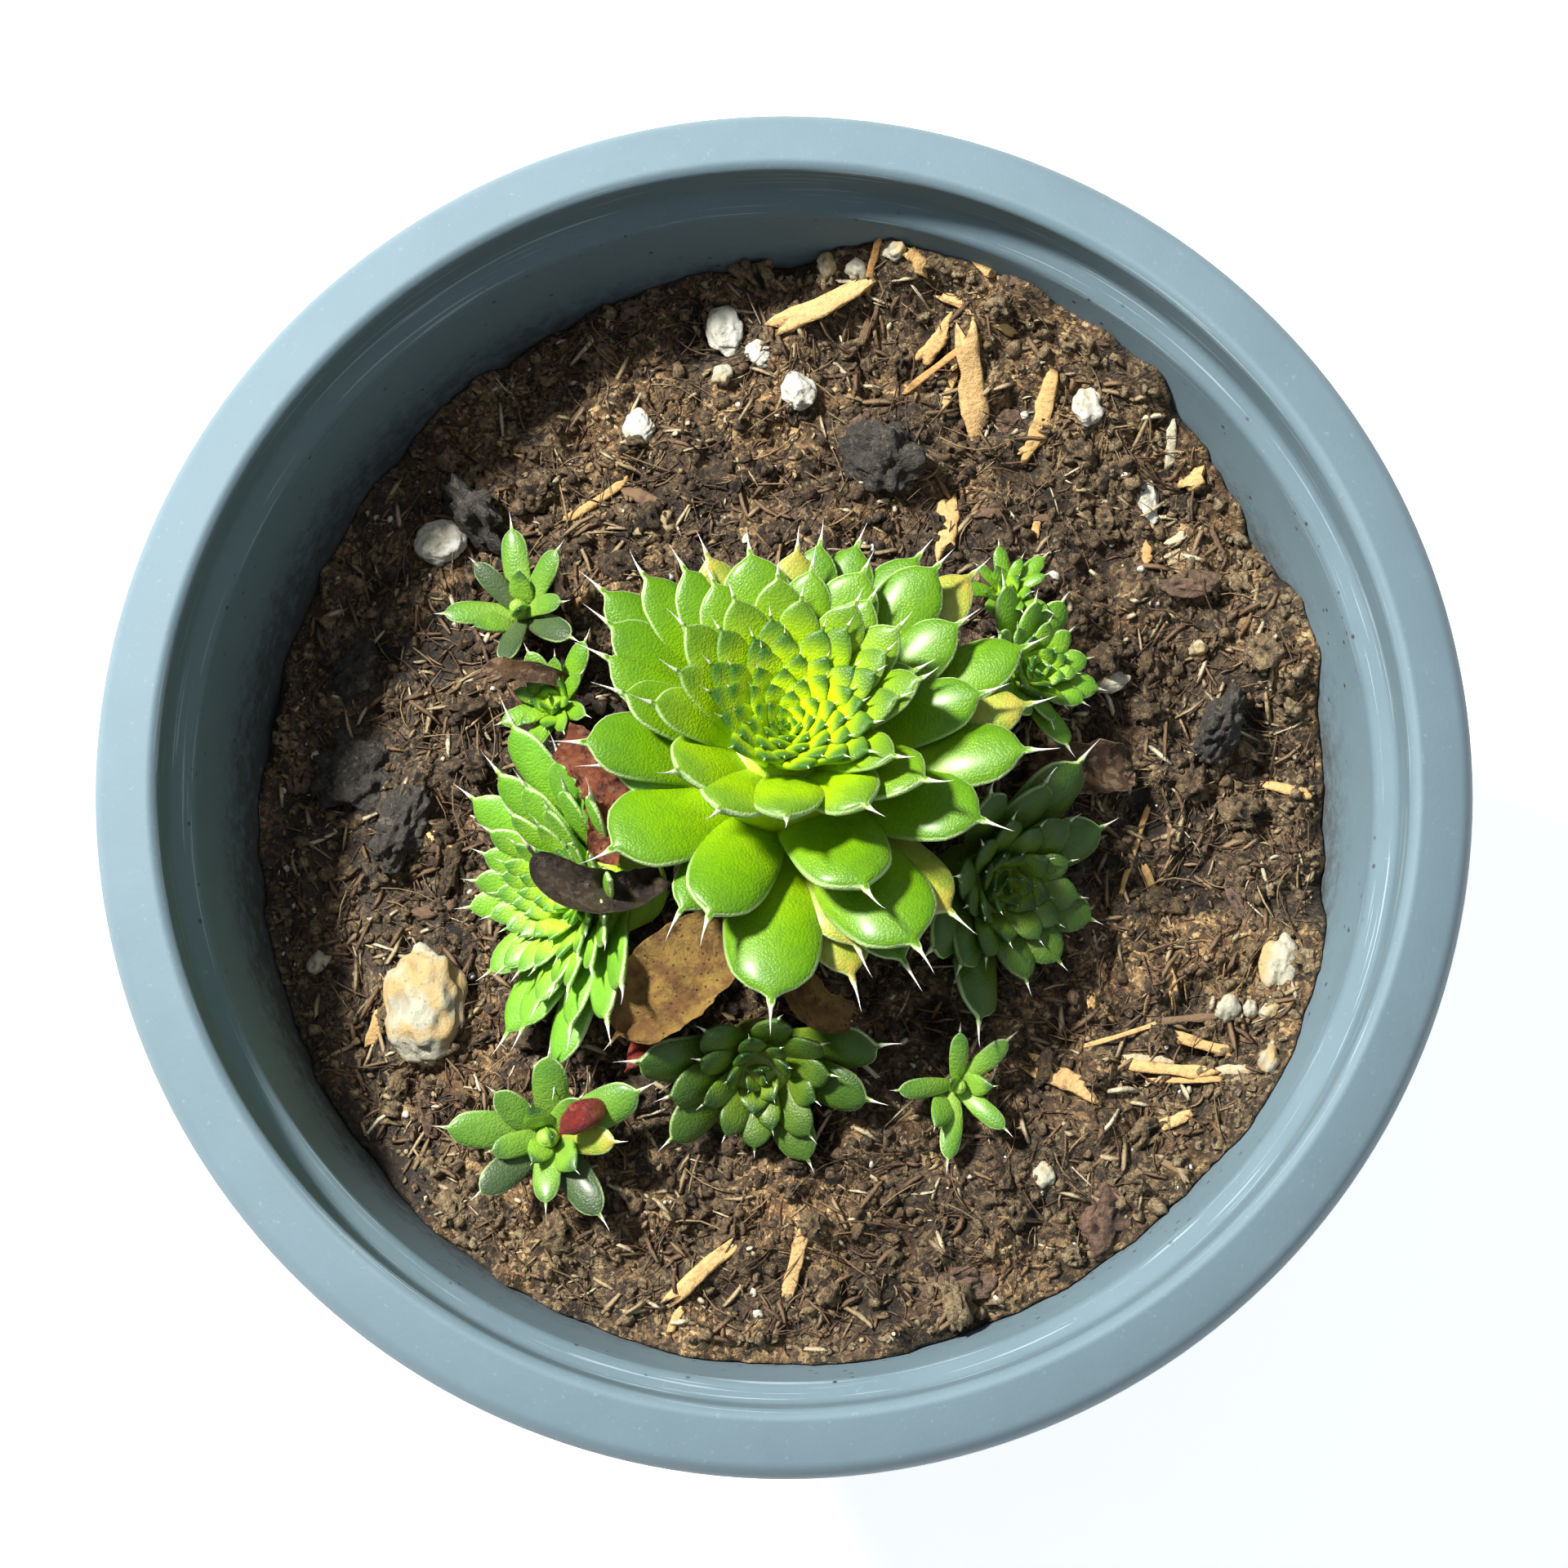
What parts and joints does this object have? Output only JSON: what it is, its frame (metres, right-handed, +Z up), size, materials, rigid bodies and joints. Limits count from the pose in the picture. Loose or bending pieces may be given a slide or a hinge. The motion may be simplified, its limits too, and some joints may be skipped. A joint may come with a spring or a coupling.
{
  "type": "potted orostachys spinosa",
  "caption": "Spiny rosette succulent with offsets, growing in dark peat with white grains and wood splinters, in a round blue-grey plastic nursery pot with a wide rim.",
  "frame": {"origin": "on the table, under the middle of the pot", "axes": "+Z up through the pot's axis; +X to the right and +Y away from a person who looks from the front"},
  "size_m": [0.1052, 0.1052, 0.0977],
  "materials": {
    "pot": "satin",
    "soil": "matte",
    "green_leaf": "satin",
    "offset_leaf": "satin",
    "dry_leaf": "matte",
    "red_leaf": "satin",
    "white_grain": "matte",
    "wood_chip": "matte"
  },
  "bodies": {
    "root": {"pot": "pot", "soil": "soil", "main_rosette": "green_leaf", "left_rosette": "offset_leaf", "right_rosette": "offset_leaf", "front_rosette": "offset_leaf", "back_rosette": "offset_leaf", "back_bud": "offset_leaf", "side_bud": "offset_leaf", "far_left_sprout": "offset_leaf", "near_left_sprout": "offset_leaf", "near_right_sprout": "offset_leaf", "dry_leaf_dark": "dry_leaf", "dry_leaf_russet": "dry_leaf", "dry_leaf_tan": "dry_leaf", "dry_leaf_ochre": "dry_leaf", "dry_leaf_thin": "dry_leaf", "dry_leaf_shade": "dry_leaf", "red_leaf_upper": "red_leaf", "red_leaf_lower": "red_leaf", "stone_grain_1": "white_grain", "stone_grain_2": "white_grain", "stone_grain_3": "white_grain", "stone_grain_4": "white_grain", "stone_grain_5": "white_grain", "stone_grain_6": "white_grain", "stone_grain_7": "white_grain", "stone_grain_8": "white_grain", "stone_grain_9": "white_grain", "stone_grain_10": "white_grain", "wood_splinter_1": "wood_chip", "wood_splinter_2": "wood_chip", "wood_splinter_3": "wood_chip", "wood_splinter_4": "wood_chip", "wood_splinter_5": "wood_chip", "wood_splinter_6": "wood_chip", "wood_splinter_7": "wood_chip", "wood_splinter_8": "wood_chip"}
  },
  "joints": []
}
